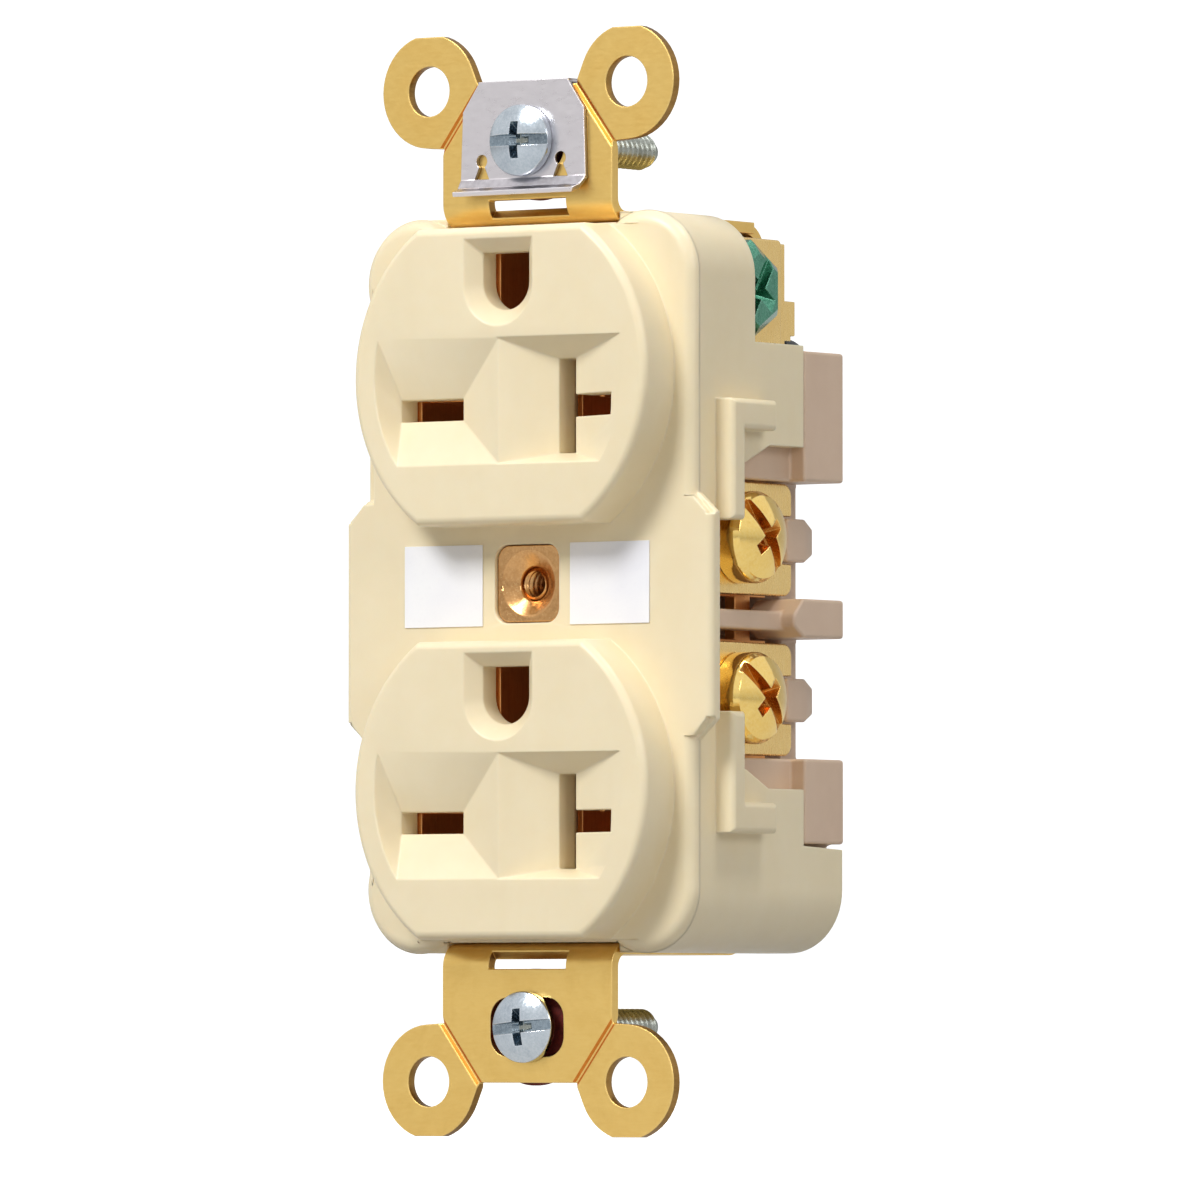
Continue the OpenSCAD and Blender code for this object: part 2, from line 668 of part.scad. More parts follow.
// Clamp plate with a notch in its rear edge
module clamp_plate(z) color(terminal_color) difference() {
    slab_x(clamp_x, clamp_x + clamp_t) difference() {
        translate([12.2, z]) round_rect(15.8, 10.6, 1.2);
        translate([18.6, z - 2.25]) square([5, 4.5]);
    }
    rod_x(screw_hole_r, 5, 20, term_y, z);
}
module right_upper_screw() term_screw(upper_term_z);
module right_lower_screw() term_screw(lower_term_z);
module left_upper_screw() mirror([1, 0, 0]) term_screw(upper_term_z);
module left_lower_screw() mirror([1, 0, 0]) term_screw(lower_term_z);
module right_upper_clamp() clamp_plate(upper_term_z);
module right_lower_clamp() clamp_plate(lower_term_z);
module left_upper_clamp() mirror([1, 0, 0]) clamp_plate(upper_term_z);
module left_lower_clamp() mirror([1, 0, 0]) clamp_plate(lower_term_z);

// Hexagonal ground screw with a slot and a cross recess
module ground_screw() {
    hex_h = 2.6;
    slot_w = 1.2;
    color(ground_screw_color) translate([tab_x + 1.3, ground_y, ground_z]) {
        rotate([0, 90, 0]) difference() {
            cylinder(r = 4.75, h = hex_h, $fn = 6);
            for (a = [0, 90]) rotate(a)
                translate([-2.3, -slot_w / 2, hex_h - 1.5]) cube([4.6, slot_w, 5]);
            translate([-6, -slot_w / 2, hex_h - 0.8]) cube([12, slot_w, 5]);
        }
        rod_x(screw_r, -6.8, 0.5);
    }
}
module ground_clamp() {
    rear_y = 21.8;
    color(terminal_color) difference() {
        slab_x(tab_x + 0.04, tab_x + 1.24)
            translate([(tab_y + rear_y) / 2, ground_z]) round_rect(rear_y - tab_y, 10.2, 0.5);
        rod_x(screw_hole_r, 5, 20, ground_y, ground_z);
    }
}

front_cover();
back_body();
mounting_strap();
ground_clip();
upper_mount_screw();
lower_mount_screw();
upper_mount_washer();
lower_mount_washer();
faceplate_bushing();
left_label();
right_label();
left_line_contact();
right_line_contact();
upper_ground_contact();
lower_ground_contact();
ground_terminal();
ground_rivets();
assembly_screws();
ground_screw();
ground_clamp();
right_upper_screw();
right_lower_screw();
left_upper_screw();
left_lower_screw();
right_upper_clamp();
right_lower_clamp();
left_upper_clamp();
left_lower_clamp();
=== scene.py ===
import bpy
import bmesh
import math
from mathutils import Matrix, Vector
from mathutils.geometry import delaunay_2d_cdt


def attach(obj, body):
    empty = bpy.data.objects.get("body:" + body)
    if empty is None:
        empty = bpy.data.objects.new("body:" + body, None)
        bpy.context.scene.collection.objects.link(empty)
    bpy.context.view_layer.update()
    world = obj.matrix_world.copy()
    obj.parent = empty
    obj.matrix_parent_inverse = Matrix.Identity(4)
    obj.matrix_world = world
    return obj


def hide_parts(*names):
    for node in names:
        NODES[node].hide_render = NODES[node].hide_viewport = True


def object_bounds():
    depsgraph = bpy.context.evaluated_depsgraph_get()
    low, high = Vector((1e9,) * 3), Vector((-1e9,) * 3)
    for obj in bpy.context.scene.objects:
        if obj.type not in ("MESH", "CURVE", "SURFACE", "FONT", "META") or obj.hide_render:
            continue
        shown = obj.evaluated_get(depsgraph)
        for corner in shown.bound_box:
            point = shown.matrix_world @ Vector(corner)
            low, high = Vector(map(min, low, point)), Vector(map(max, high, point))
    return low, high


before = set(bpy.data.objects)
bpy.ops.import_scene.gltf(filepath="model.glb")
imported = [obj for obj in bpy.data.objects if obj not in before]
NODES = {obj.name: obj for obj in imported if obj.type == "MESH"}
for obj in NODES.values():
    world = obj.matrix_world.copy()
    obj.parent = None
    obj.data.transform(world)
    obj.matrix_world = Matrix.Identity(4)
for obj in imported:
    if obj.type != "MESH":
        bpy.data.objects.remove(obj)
CAD_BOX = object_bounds()
MM = 0.001
scene = bpy.context.scene
scene.view_settings.view_transform = "Standard"


# ---------------------------------------------------------------- materials
def lin(c):
    """sRGB 0-255 to linear, with alpha."""
    out = []
    for v in c:
        v = v / 255.0
        out.append(v / 12.92 if v <= 0.04045 else ((v + 0.055) / 1.055) ** 2.4)
    return (out[0], out[1], out[2], 1.0)


class Mat:
    """Small helper that builds one procedural material."""

    def __init__(self, name):
        self.m = bpy.data.materials.new(name)
        self.m.use_nodes = True
        self.t = self.m.node_tree
        self.t.nodes.clear()
        self.out = self.t.nodes.new("ShaderNodeOutputMaterial")
        self.b = self.t.nodes.new("ShaderNodeBsdfPrincipled")
        self.t.links.new(self.b.outputs[0], self.out.inputs[0])
        self.tc = self.t.nodes.new("ShaderNodeTexCoord")

    def n(self, kind, **props):
        x = self.t.nodes.new(kind)
        for k, v in props.items():
            setattr(x, k, v)
        return x

    def l(self, a, b):
        self.t.links.new(a, b)

    def coords(self, scale=(1, 1, 1), rot=(0, 0, 0)):
        mp = self.n("ShaderNodeMapping")
        mp.inputs["Scale"].default_value = scale
        mp.inputs["Rotation"].default_value = rot
        self.l(self.tc.outputs["Object"], mp.inputs[0])
        return mp.outputs[0]

    def noise(self, vec, scale, detail=4.0, rough=0.55, dist=0.0):
        x = self.n("ShaderNodeTexNoise")
        x.inputs["Scale"].default_value = scale
        x.inputs["Detail"].default_value = detail
        x.inputs["Roughness"].default_value = rough
        x.inputs["Distortion"].default_value = dist
        self.l(vec, x.inputs["Vector"])
        return x.outputs["Fac"]

    def ramp(self, fac, a, b, ca=(0, 0, 0, 1), cb=(1, 1, 1, 1)):
        x = self.n("ShaderNodeValToRGB")
        x.color_ramp.elements[0].position = a
        x.color_ramp.elements[1].position = b
        x.color_ramp.elements[0].color = ca
        x.color_ramp.elements[1].color = cb
        self.l(fac, x.inputs[0])
        return x.outputs[0]

    def mix(self, fac, a, b, blend="MIX"):
        x = self.n("ShaderNodeMix", data_type="RGBA", blend_type=blend)
        if isinstance(fac, (int, float)):
            x.inputs[0].default_value = fac
        else:
            self.l(fac, x.inputs[0])
        for i, v in ((6, a), (7, b)):
            if isinstance(v, tuple):
                x.inputs[i].default_value = v
            else:
                self.l(v, x.inputs[i])
        return x.outputs[2]

    def math(self, op, a, b=None):
        x = self.n("ShaderNodeMath", operation=op)
        for i, v in ((0, a), (1, b)):
            if v is None:
                continue
            if isinstance(v, (int, float)):
                x.inputs[i].default_value = v
            else:
                self.l(v, x.inputs[i])
        return x.outputs[0]

    def maprange(self, v, a, b, c, d):
        x = self.n("ShaderNodeMapRange")
        x.inputs[1].default_value = a
        x.inputs[2].default_value = b
        x.inputs[3].default_value = c
        x.inputs[4].default_value = d
        self.l(v, x.inputs[0])
        return x.outputs[0]

    def bevel(self, radius):
        x = self.n("ShaderNodeBevel", samples=4)
        x.inputs["Radius"].default_value = radius
        return x.outputs[0]

    def edge(self, radius=0.0003, lo=0.0, hi=0.12):
        """0 on flat faces, 1 along sharp edges."""
        geo = self.n("ShaderNodeNewGeometry")
        dot = self.n("ShaderNodeVectorMath", operation="DOT_PRODUCT")
        self.l(self.bevel(radius), dot.inputs[0])
        self.l(geo.outputs["Normal"], dot.inputs[1])
        return self.maprange(self.math("SUBTRACT", 1.0, dot.outputs["Value"]), lo, hi, 0.0, 1.0)

    def finish(self, color, rough, metallic=0.0, bumps=(), bevel=0.00012, **extra):
        def put(v, name):
            if isinstance(v, (int, float, tuple)):
                self.b.inputs[name].default_value = v
            else:
                self.l(v, self.b.inputs[name])
        put(color, "Base Color")
        put(rough, "Roughness")
        put(metallic, "Metallic")
        normal = self.bevel(bevel) if bevel else None
        for height, strength, distance in bumps:
            x = self.n("ShaderNodeBump")
            x.inputs["Strength"].default_value = strength
            x.inputs["Distance"].default_value = distance
            self.l(height, x.inputs["Height"])
            if normal is not None:
                self.l(normal, x.inputs["Normal"])
            normal = x.outputs[0]
        if normal is not None:
            self.l(normal, self.b.inputs["Normal"])
        for k, v in extra.items():
            put(v, k.replace("_", " "))
        return self.m


def plastic(name, base, dark, light, rough, sss, grain=1.0, mottle=0.5):
    """Moulded nylon: soft translucency, faint flow marks, fine spark texture, edges lightened as a painted
    highlight.
    """
    k = Mat(name)
    v = k.coords()
    flow = k.noise(k.coords((1, 1, 0.35)), 95, 3, 0.6, 0.6)
    cloud = k.noise(v, 420, 4, 0.6)
    col = k.mix(k.math("MULTIPLY", k.ramp(flow, 0.32, 0.7), mottle), lin(base), lin(dark))
    col = k.mix(k.math("MULTIPLY", k.ramp(cloud, 0.4, 0.75), 0.35 * mottle), col, lin(light))
    # painted highlight: sharp edges and ridges are mixed toward the light tone in place of the shine on their
    # roundings
    col = k.mix(k.math("MULTIPLY", k.edge(0.00035, 0.0, 0.15), 0.45), col, lin(light))
    speck = k.noise(v, 5200, 2, 0.5)
    col = k.mix(k.math("MULTIPLY", k.ramp(speck, 0.68, 0.74), 0.12), col, lin(dark))
    r = k.maprange(k.noise(v, 700, 3, 0.6), 0.3, 0.7, rough - 0.05, rough + 0.07)
    fine = k.noise(v, 9000, 3, 0.6)
    wave = k.noise(v, 160, 2, 0.5)
    return k.finish(col, r, 0.0, bumps=((wave, 0.12, 0.00025), (fine, 0.10 * grain, 0.00003)), bevel=0.00022,
                    Subsurface_Weight=sss, Subsurface_Radius=(0.9, 0.7, 0.45), Subsurface_Scale=0.0012,
                    IOR=1.5, Specular_IOR_Level=0.5)


def metal(name, base, dark, light, rough, grain=None, grain_k=1.0, wear=0.6, tarnish=0.35, bump=0.2, bevel=0.00012, coat=0.0, painted_glow=None):
    """Metal with brushed or tumbled grain, tone variation, worn bright edges."""
    k = Mat(name)
    v = k.coords()
    if grain:
        g = k.noise(k.coords(grain), 1.0, 5, 0.7)
        g2 = k.noise(k.coords((grain[0] * 0.3, grain[1] * 0.3, grain[2] * 0.3)), 1.0, 3, 0.6)
    else:
        g = k.noise(v, 4200, 4, 0.65)
        g2 = k.noise(v, 1300, 3, 0.6)
    blot = k.noise(v, 210, 5, 0.62, 0.8)
    col = k.mix(k.math("MULTIPLY", k.ramp(blot, 0.42, 0.72), tarnish), lin(base), lin(dark))
    col = k.mix(k.math("MULTIPLY", k.ramp(g, 0.35, 0.75), 0.35 * grain_k), col, lin(light))
    col = k.mix(k.math("MULTIPLY", k.ramp(g2, 0.5, 0.8), 0.25 * grain_k), col, lin(dark))
    col = k.mix(k.math("MULTIPLY", k.edge(0.00028, 0.01, 0.2), wear), col, lin(light))
    r = k.maprange(k.math("ADD", k.math("MULTIPLY", g, 0.6), k.math("MULTIPLY", blot, 0.4)), 0.3, 0.7, max(0.04, rough - 0.07), rough + 0.09)
    extra = {"Coat_Weight": coat, "Coat_Roughness": 0.15}
    if painted_glow:
        # painted glow: a faint emission stands in for the light that the thin moulding lets through onto the
        # hidden metal
        extra["Emission_Color"] = painted_glow
        extra["Emission_Strength"] = 0.1
    return k.finish(col, r, 1.0, bumps=((g, bump, 0.00002), (g2, bump * 0.6, 0.00004)), bevel=bevel, **extra)


M = {}
M["ivory"] = plastic("ivory_nylon", (244, 229, 194), (236, 219, 180), (250, 239, 211), 0.36, 0.18)
M["tan"] = plastic("tan_nylon", (222, 195, 170), (206, 178, 154), (234, 211, 188), 0.42, 0.06)
M["strap"] = metal("strap_brass", (232, 194, 112), (210, 168, 86), (246, 220, 150), 0.34, grain=(900, 900, 3600), grain_k=0.6, bump=0.16, tarnish=0.45)
M["groove"] = metal("strap_groove", (205, 122, 44), (166, 88, 30), (228, 160, 80), 0.45, tarnish=0.6, wear=0.1)
M["plate"] = metal("plate_brass", (240, 206, 134), (218, 176, 100), (250, 230, 178), 0.26, grain=(900, 3600, 900), grain_k=0.6, bump=0.14)
M["screw"] = metal("terminal_brass", (244, 208, 118), (222, 168, 76), (253, 234, 170), 0.08, bump=0.04, tarnish=0.3, wear=0.3)
# slot walls and floors of the terminal screws: darker orange-brown as painted shade in the slot
M["recess"] = metal("terminal_slot_painted_shade", (220, 162, 84), (116, 62, 22), (252, 208, 128), 0.22, bump=0.3, tarnish=0.7, wear=0.25)
# the contact strips carry a painted glow in place of light let through the nylon
M["contact"] = metal("contact_brass", (222, 154, 92), (182, 112, 58), (244, 190, 128), 0.32, grain=(600, 5000, 600), bump=0.2, painted_glow=(0.16, 0.05, 0.012, 1.0))
M["bush"] = metal("bushing_bronze", (206, 156, 100), (138, 92, 50), (240, 200, 146), 0.22, bump=0.1, tarnish=0.45)
M["clip"] = metal("clip_steel", (218, 213, 216), (200, 195, 199), (236, 234, 236), 0.3, grain=(900, 900, 3000), grain_k=0.35, bump=0.06, tarnish=0.25)
M["rim"] = metal("strap_cut_edge", (154, 116, 58), (92, 62, 28), (206, 164, 94), 0.38, grain=(2400, 500, 2400), grain_k=0.9, bump=0.2, tarnish=0.6, wear=0.3)
# cut edges of the clip, and also its faces turned upward as painted shade
M["clip_rim"] = metal("clip_cut_edge_and_top_shade", (166, 162, 166), (112, 108, 112), (212, 210, 214), 0.34, grain=(2400, 500, 2400), grain_k=0.6, bump=0.12, tarnish=0.5, wear=0.3)
M["zinc"] = metal("zinc_steel", (188, 198, 206), (138, 150, 164), (232, 236, 242), 0.15, bump=0.06, tarnish=0.45)
# slot floors of the mounting screws: darker zinc as painted shade in the slot
M["zinc_slot_painted_shade"] = metal("zinc_slot_painted_shade", (142, 158, 170), (70, 82, 94), (208, 220, 228), 0.22, bump=0.12, tarnish=0.7, wear=0.2)
M["thread"] = metal("zinc_thread", (150, 154, 146), (84, 88, 80), (206, 210, 204), 0.28, bump=0.15, tarnish=0.7)
M["green"] = metal("green_screw", (66, 134, 108), (24, 78, 60), (146, 202, 180), 0.26, bump=0.12, tarnish=0.45, wear=0.35, coat=0.4)
M["black"] = metal("black_oxide", (44, 50, 54), (24, 28, 30), (96, 104, 110), 0.36, bump=0.15)


def washer_mat():
    k = Mat("red_fibre")
    f = k.noise(k.coords((2400, 9000, 2400)), 1.0, 4, 0.7)
    col = k.mix(k.ramp(f, 0.35, 0.7), lin((122, 34, 24)), lin((84, 20, 16)))
    return k.finish(col, k.maprange(f, 0.3, 0.7, 0.55, 0.75), 0.0, bumps=((f, 0.4, 0.00004),), bevel=0.0001)


def label_mat():
    k = Mat("white_label")
    f = k.noise(k.coords(), 2600, 4, 0.6)
    b = k.noise(k.coords(), 130, 2, 0.5)
    col = k.mix(k.ramp(b, 0.4, 0.7), lin((253, 253, 255)), lin((244, 244, 250)))
    col = k.mix(k.math("MULTIPLY", k.ramp(f, 0.55, 0.7), 0.15), col, lin((232, 232, 238)))
    return k.finish(col, k.maprange(f, 0.3, 0.7, 0.38, 0.5), 0.0, bumps=((b, 0.1, 0.0002), (f, 0.06, 0.00002)), bevel=0.00005)


M["fibre"] = washer_mat()
M["label"] = label_mat()


# ---------------------------------------------------------------- meshes
def link(me, name, mats):
    ob = bpy.data.objects.new(name, me)
    scene.collection.objects.link(ob)
    for m in mats:
        me.materials.append(m)
    return ob


def clean_bm(node, angle=0.7):
    """The CAD node's surface as a bmesh with its flat faces joined."""
    src = NODES[node]
    bm = bmesh.new()
    bm.from_mesh(src.data)
    bm.transform(src.matrix_world)
    bmesh.ops.remove_doubles(bm, verts=bm.verts, dist=1.5e-6)
    bmesh.ops.dissolve_degenerate(bm, dist=1e-6, edges=bm.edges)
    bmesh.ops.dissolve_limit(bm, angle_limit=math.radians(angle), use_dissolve_boundaries=False,
                             verts=bm.verts, edges=bm.edges)
    bmesh.ops.recalc_face_normals(bm, faces=bm.faces)
    for f in bm.faces:
        f.material_index = 0
    return bm


def sharp(bm, lo=28.0, test=None):
    out = []
    for e in bm.edges:
        if len(e.link_faces) == 2 and math.degrees(e.calc_face_angle(0.0)) > lo and (test is None or test(e)):
            out.append(e)
    return out


def bevel(bm, edges, w, seg=3, clamp=True, profile=0.5):
    if edges:
        bmesh.ops.bevel(bm, geom=edges, offset=w * MM, offset_type="OFFSET", segments=seg, profile=profile,
                        affect="EDGES", clamp_overlap=clamp, loop_slide=True)


def folded(bm, least=0.0):
    """Faces whose own triangles overlap."""
    bm.normal_update()
    bad = set()
    for t in bm.calc_loop_triangles():
        a, b, c = (l.vert.co for l in t)
        f = t[0].face
        if (b - a).cross(c - a).dot(f.normal) < -1e-12:
            bad.add(f)
    return [f for f in bad if f.calc_area() >= least]


def retile(bm):
    """Replaces each large folded face with triangles that keep to its outline."""
    for f in folded(bm, 2e-7):
        n = f.normal.copy()
        e1 = n.orthogonal().normalized()
        e2 = n.cross(e1)
        o = f.calc_center_median()
        vs = list(f.verts)
        flat = [Vector(((v.co - o).dot(e1) * 1000, (v.co - o).dot(e2) * 1000)) for v in vs]
        co, _, tris, ov, _, _ = delaunay_2d_cdt(flat, [], [list(range(len(vs)))], 1, 1e-6)
        new = []
        for p, orig in zip(co, ov):
            new.append(vs[orig[0]] if orig else bm.verts.new(o + e1 * (p.x / 1000) + e2 * (p.y / 1000)))
        mi = f.material_index
        bmesh.ops.delete(bm, geom=[f], context="FACES_ONLY")
        for t in tris:
            q = [new[j] for j in t]
            if len(set(q)) < 3:
                continue
            try:
                g = bm.faces.new(q)
            except ValueError:
                continue
            g.normal_update()
            if g.normal.dot(n) < 0:
                g.normal_flip()
            g.material_index = mi


def soft_edges(bm, w, seg=2, lo=28.0, steps=(1.0, 0.7, 0.45, 0.3), test=None):
    """Rounds every sharp edge, with a smaller radius if the full one would fold a face."""
    for k in steps:
        trial = bm.copy()
        bevel(trial, sharp(trial, lo, test), w * k, seg, clamp=False)
        retile(trial)
        n = len(folded(trial, 5e-8))
        print("ROUND", round(w * k, 3), "folded", n)
        if n == 0 or k == steps[-1]:
            break
        trial.free()
    me = bpy.data.meshes.new("tmp_soft")
    trial.to_mesh(me)
    trial.free()
    bm.clear()
    bm.from_mesh(me)
    bpy.data.meshes.remove(me)


def done(bm, name, mats, body, nodes, smooth=32.0):
    bmesh.ops.remove_doubles(bm, verts=bm.verts, dist=1.0e-6)
    me = bpy.data.meshes.new(name)
    bm.to_mesh(me)
    bm.free()
    for p in me.polygons:
        p.use_smooth = True
    me.set_sharp_from_angle(angle=math.radians(smooth))
    ob = link(me, name, mats)
    wn = ob.modifiers.new("normals", "WEIGHTED_NORMAL")
    wn.keep_sharp = True
    wn.weight = 80
    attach(ob, body)
    if nodes:
        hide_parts(*nodes)
    return ob


def mids(e):
    return (e.verts[0].co + e.verts[1].co) * 0.5


# ---- cover -------------------------------------------------------------
FZ = 19.45 * MM


def build_cover():
    bm = clean_bm("front_cover")

    # the guard ribs beside the terminals have larger roundings
    def rib(e):
        return all(abs(v.co.x) > 21.1 * MM and v.co.y > 2.0 * MM for v in e.verts)

    for w in (0.55, 0.35):
        trial = bm.copy()
        bevel(trial, sharp(trial, 28, rib), w, 5, clamp=False)
        retile(trial)
        n = len(folded(trial, 5e-8))
        print("RIBS", w, "folded", n)
        if n == 0:
            bm = trial
            break
        trial.free()
    soft_edges(bm, 0.32, 3)
    return done(bm, "cover_moulding", [M["ivory"]], "root", ["front_cover"])


def simple(node, name, mat, body, w, seg=3, lo=28.0, test=None, zones=(), smooth=32.0):
    bm = clean_bm(node)
    mats = [mat] + [z[1] for z in zones]
    for i, (inside, _) in enumerate(zones):
        for f in bm.faces:
            if f.material_index == 0 and inside(f):
                f.material_index = i + 1
    print("NODE", node)
    soft_edges(bm, w, seg, lo, test=test)
    return done(bm, name, mats, body, [node], smooth)


def score_face(f):
    c = f.calc_center_median()
    return abs(c.z) > 40 * MM and 0.15 < abs(f.normal.y) < 0.97 and (0.005 * MM < c.y < 0.3 * MM or 0.8 * MM < c.y < 1.095 * MM) \
        and abs(f.normal.x) > 0.05 and f.calc_area() > 2e-8


def sheared(f):
    """Cut edges of the strap's flat ends and of the clip."""
    c = f.calc_center_median()
    return abs(c.z) > 33 * MM and abs(f.normal.y) < 0.35 and c.y < 1.2 * MM


# ---- screws -------------------------------------------------------------
def thread_bm(bm, r_major, r_minor, pitch, a0, a1, inward=False, seg=40, sub=8, taper=0.6):
    """Helical thread along local Z from a0 to a1 (mm)."""
    rows = int((a1 - a0) / pitch * sub) + sub * 2
    prof = []
    for j in range(sub):
        t = j / sub
        prof.append(max(0.0, min(1.0, 1.12 - abs(t - 0.5) * 2 * 1.24)))
    grid = []
    for i in range(seg):
        col = []
        ang = 2 * math.pi * i / seg
        for j in range(rows + 1):
            a = a0 - pitch + pitch * (j / sub) + pitch * i / seg
            r = r_minor + (r_major - r_minor) * prof[j % sub]
            ac = min(max(a, a0), a1)
            edge = min(ac - a0, a1 - ac) / taper
            if edge < 1:
                r = r_minor + (r - r_minor) * max(0.0, edge)
            col.append(bm.verts.new((r * MM * math.cos(ang), r * MM * math.sin(ang), ac * MM)))
        grid.append(col)
    for i in range(seg):
        n = (i + 1) % seg
        for j in range(rows):
            if n:
                q = (grid[i][j], grid[n][j], grid[n][j + 1], grid[i][j + 1])
            else:
                if j + sub + 1 > rows:
                    continue
                q = (grid[i][j], grid[0][j + sub], grid[0][j + sub + 1], grid[i][j + 1])
            bm.faces.new(q if not inward else q[::-1])


def revolve(profile, seg=72):
    """Closed solid of revolution about Z from [(r, z)] in mm, ends on the axis."""
    bm = bmesh.new()
    rings = []
    for r, z in profile:
        if r < 1e-6:
            rings.append([bm.verts.new((0, 0, z * MM))])
        else:
            rings.append([bm.verts.new((r * MM * math.cos(2 * math.pi * i / seg), r * MM * math.sin(2 * math.pi * i / seg), z * MM)) for i in range(seg)])
    for a, b in zip(rings, rings[1:]):
        for i in range(seg):
            n = (i + 1) % seg
            if len(a) == 1 and len(b) == 1:
                continue
            if len(a) == 1:
                bm.faces.new((a[0], b[n], b[i]))
            elif len(b) == 1:
                bm.faces.new((a[i], a[n], b[0]))
            else:
                bm.faces.new((a[i], a[n], b[n], b[i]))
    bmesh.ops.recalc_face_normals(bm, faces=bm.faces)
    return bm


def wedge(length, w_top, w_bot, l_bot, z_top, z_bot, turn=0.0):
    """Tapered slot cutter."""
    bm = bmesh.new()
    v = []
    for z, l, w in ((z_bot, l_bot, w_bot), (z_top, length, w_top)):
        for x, y in ((-l, -w), (l, -w), (l, w), (-l, w)):
            v.append(bm.verts.new((x / 2 * MM, y / 2 * MM, z * MM)))
    for q in ((3, 2, 1, 0), (4, 5, 6, 7), (0, 1, 5, 4), (1, 2, 6, 5), (2, 3, 7, 6), (3, 0, 4, 7)):
        bm.faces.new([v[i] for i in q])
    bm.transform(Matrix.Rotation(turn, 4, "Z"))
    bmesh.ops.recalc_face_normals(bm, faces=bm.faces)
    return bm


def temp(bm, name):
    me = bpy.data.meshes.new(name)
    bm.to_mesh(me)
    bm.free()
    ob = bpy.data.objects.new(name, me)
    scene.collection.objects.link(ob)
    return ob


def cut(bm, cutters):
    """bm minus each cutter; faces made by the cut get material 1."""
    a = temp(bm, "tmp_a")
    a.data.materials.append(M["screw"])
    a.data.materials.append(M["recess"])
    tmp = [a]
    for i, c in enumerate(cutters):
        o = temp(c, "tmp_c%d" % i)
        o.data.materials.append(M["screw"])
        o.data.materials.append(M["recess"])
        for p in o.data.polygons:
            p.material_index = 1
        m = a.modifiers.new("cut%d" % i, "BOOLEAN")
        m.operation = "DIFFERENCE"
        m.object = o
        m.solver = "EXACT"
        m.material_mode = "INDEX"
        tmp.append(o)
    dg = bpy.context.evaluated_depsgraph_get()
    out = bmesh.new()
    out.from_mesh(bpy.data.meshes.new_from_object(a.evaluated_get(dg), depsgraph=dg))
    for o in tmp:
        bpy.data.objects.remove(o, do_unlink=True)
    return out


def dome(r, edge_h, total_h, r0, under=0.0, n=9, soft=0.1):
    """Profile of a pan head, underside at z 0, ending on the axis."""
    pts = [(0, under), (r0, under), (r0, 0.0), (r - 0.12, 0.0), (r, 0.12), (r, edge_h - soft * 1.3), (r - soft * 0.07, edge_h - soft * 0.85),
           (r - soft * 0.25, edge_h - soft * 0.42), (r - soft * 0.52, edge_h - soft * 0.1)]
    big = (r * r + (total_h - edge_h) ** 2) / (2 * (total_h - edge_h))
    a1 = math.asin((r - soft * 0.8) / big)
    for i in range(n + 1):
        a = a1 * (1 - i / n)
        pts.append((big * math.sin(a), total_h - big + big * math.cos(a)))
    pts[-1] = (0, total_h)
    return pts


def screw(name, node, body, mats, place, head, slot_w, shank, pitch, a1, hexa=None, slot_d=0.95, cross=0.56, neck=0.0, deep=0.75, soft=0.1, lip=0.09):
    r, edge_h, total_h = head
    if hexa:
        bm = hexa()
    else:
        bm = revolve(dome(r, edge_h, total_h, shank[0], soft=soft))
    cutters = [wedge(4 * r, slot_w + 0.15, slot_w - 0.1, 4 * r, total_h + 1, total_h - slot_d)]
    for t in (0, math.pi / 2):
        cutters.append(wedge(2 * r * cross + 0.9, slot_w + 0.1, slot_w * 0.35, 2 * r * cross * 0.3, total_h + 0.5, total_h - slot_d - deep, t))
    bm = cut(bm, cutters)
    bmesh.ops.remove_doubles(bm, verts=bm.verts, dist=2e-6)
    es = [e for e in bm.edges if len(e.link_faces) == 2 and e.link_faces[0].material_index != e.link_faces[1].material_index]
    if lip:
        bevel(bm, es, lip, 2, True)
    first = len(bm.faces)
    thread_bm(bm, shank[0], shank[1], pitch, -a1, -neck if neck else (0.25 if not hexa else 0.1))
    extra = [revolve([(0, -a1 - shank[2]), (shank[1] * 0.75, -a1 - shank[2]), (shank[1], -a1), (shank[1], -a1 + 0.4), (0, -a1 + 0.4)], 40)]
    if neck:
        extra.append(revolve([(0, -neck - 0.5), (shank[1], -neck - 0.5), (shank[1] + 0.1, -neck), (shank[1] + 0.1, 0.2), (0, 0.2)], 40))
    for part in extra:
        me = bpy.data.meshes.new("tmp_tip")
        part.to_mesh(me)
        part.free()
        bm.from_mesh(me)
        bpy.data.meshes.remove(me)
    if len(mats) > 2:
        bm.faces.ensure_lookup_table()
        for f in bm.faces[first:]:
            f.material_index = 2
    bm.transform(place)
    return done(bm, name, mats, body, [node], 34.0)


def along(axis, pos, roll=0.0):
    """Local Z to the given axis at pos (mm), rolled about it."""
    z = Vector(axis)
    ref = Vector((0, 0, 1))
    x = ref.cross(z).normalized()
    y = z.cross(x)
    m = Matrix((x, y, z)).transposed().to_4x4()
    return Matrix.Translation(Vector(pos) * MM) @ m @ Matrix.Rotation(math.radians(roll), 4, "Z")


def hex_head():
    bm = bmesh.new()
    r, h = 4.75, 2.6
    turn = math.radians(33)     # corners up and down once the head is rolled into place
    rings = []
    for rr, z in ((r - 0.2, 0.0), (r, 0.2), (r, h - 1.05), (r - 0.3, h - 0.7), (r - 1.3, h)):
        rings.append([bm.verts.new((rr * MM * math.cos(math.pi / 3 * i + turn), rr * MM * math.sin(math.pi / 3 * i + turn), z * MM)) for i in range(6)])
    for a, b in zip(rings, rings[1:]):
        for i in range(6):
            n = (i + 1) % 6
            bm.faces.new((a[i], a[n], b[n], b[i]))
    bm.faces.new(rings[0][::-1])
    bm.faces.new(rings[-1])
    bmesh.ops.recalc_face_normals(bm, faces=bm.faces)
    return bm


